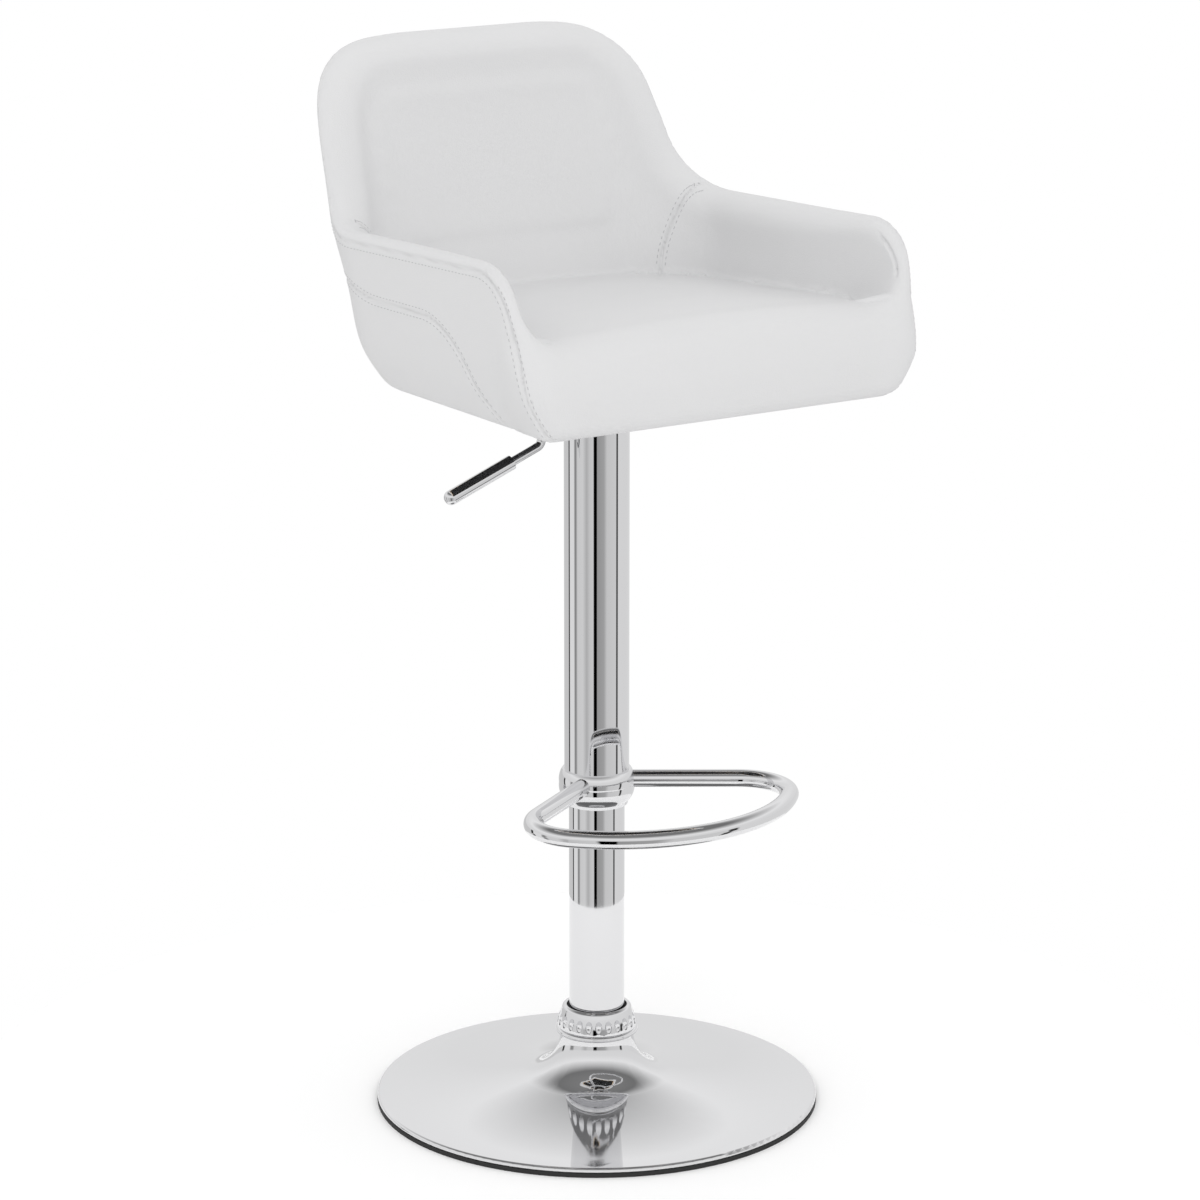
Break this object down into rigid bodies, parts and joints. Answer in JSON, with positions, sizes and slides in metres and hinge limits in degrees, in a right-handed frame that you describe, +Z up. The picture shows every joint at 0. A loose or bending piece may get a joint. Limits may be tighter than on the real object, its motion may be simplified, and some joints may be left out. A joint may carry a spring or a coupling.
{
  "type": "adjustable swivel stool",
  "caption": "Gas-lift swivel bar stool with a padded bucket seat, low arms, round trumpet foot, closed-loop footrest and side release lever.",
  "frame": {"origin": "on the column's axis at the floor, under the middle of the round foot", "axes": "+Z up along the column; the seat faces -Y; +X is towards the sitter's left hand, so the release lever is on the -X side"},
  "size_m": [0.4118, 0.4443, 0.954],
  "materials": {
    "chrome": "polished",
    "bare_steel": "satin",
    "black_steel": "satin black",
    "black_rubber": "matte",
    "white_nylon": "matte",
    "black_nylon": "matte",
    "plywood": "matte",
    "white_leather": "soft matte",
    "black_lining": "matte"
  },
  "bodies": {
    "base": {"floor_ring": "black_rubber", "base_dish": "chrome", "ballast_plate": "black_steel", "column_flange": "black_steel", "flange_bolts": "bare_steel", "flange_nuts": "bare_steel", "trim_ring": "chrome", "trim_seal": "black_rubber", "column_tube": "chrome", "column_foot_disc": "bare_steel", "guide_bush": "white_nylon", "lower_race": "bare_steel", "bearing_balls": "bare_steel", "ball_cage": "black_nylon"},
    "rod": {"upper_race": "bare_steel", "piston_rod": "bare_steel", "rod_washer": "bare_steel", "rod_clip": "bare_steel", "drop_buffer": "black_rubber", "piston": "bare_steel", "piston_seal": "black_rubber"},
    "carriage": {"pressure_tube": "black_steel", "rod_guide": "black_nylon", "guide_clip": "bare_steel", "valve_body": "bare_steel", "outer_sleeve": "chrome", "sleeve_bush": "white_nylon", "sleeve_top_ring": "black_nylon", "footrest_collar": "chrome", "collar_screws": "bare_steel", "footrest_ring": "chrome", "seat_plate": "black_steel", "taper_socket": "black_steel", "lever_bracket": "black_steel", "lever_pivot_pin": "bare_steel", "seat_bolts": "bare_steel", "seat_bolt_washers": "bare_steel", "tee_nuts": "bare_steel", "shell_frame": "plywood", "shell_cover": "white_leather", "seat_board": "plywood", "seat_cushion": "white_leather", "dust_cover": "black_lining"},
    "lever": {"lever_rod": "chrome", "lever_grip": "chrome"},
    "release_pin": {"release_pin": "bare_steel"}
  },
  "joints": [
    {"name": "swivel", "type": "hinge", "parent": "base", "child": "rod", "pos_m": [0, 0, 0.035], "axis": [0, 0, 1], "continuous": true},
    {"name": "lift", "type": "slide", "parent": "rod", "child": "carriage", "axis": [0, 0, 1], "range_m": [-0.185, 0]},
    {"name": "lever_lift", "type": "hinge", "parent": "carriage", "child": "lever", "pos_m": [-0.04, 0, 0.646], "axis": [0, 1, 0], "range_deg": [0, 6], "stiffness_Nm_per_rad": 3, "springref_deg": -2.86},
    {"name": "pin_press", "type": "slide", "parent": "carriage", "child": "release_pin", "axis": [0, 0, -1], "range_m": [0, 0.0047]}
  ],
  "couplings": [
    {"joint": "pin_press", "follows": "lever_lift", "m_per_rad": 0.044}
  ]
}
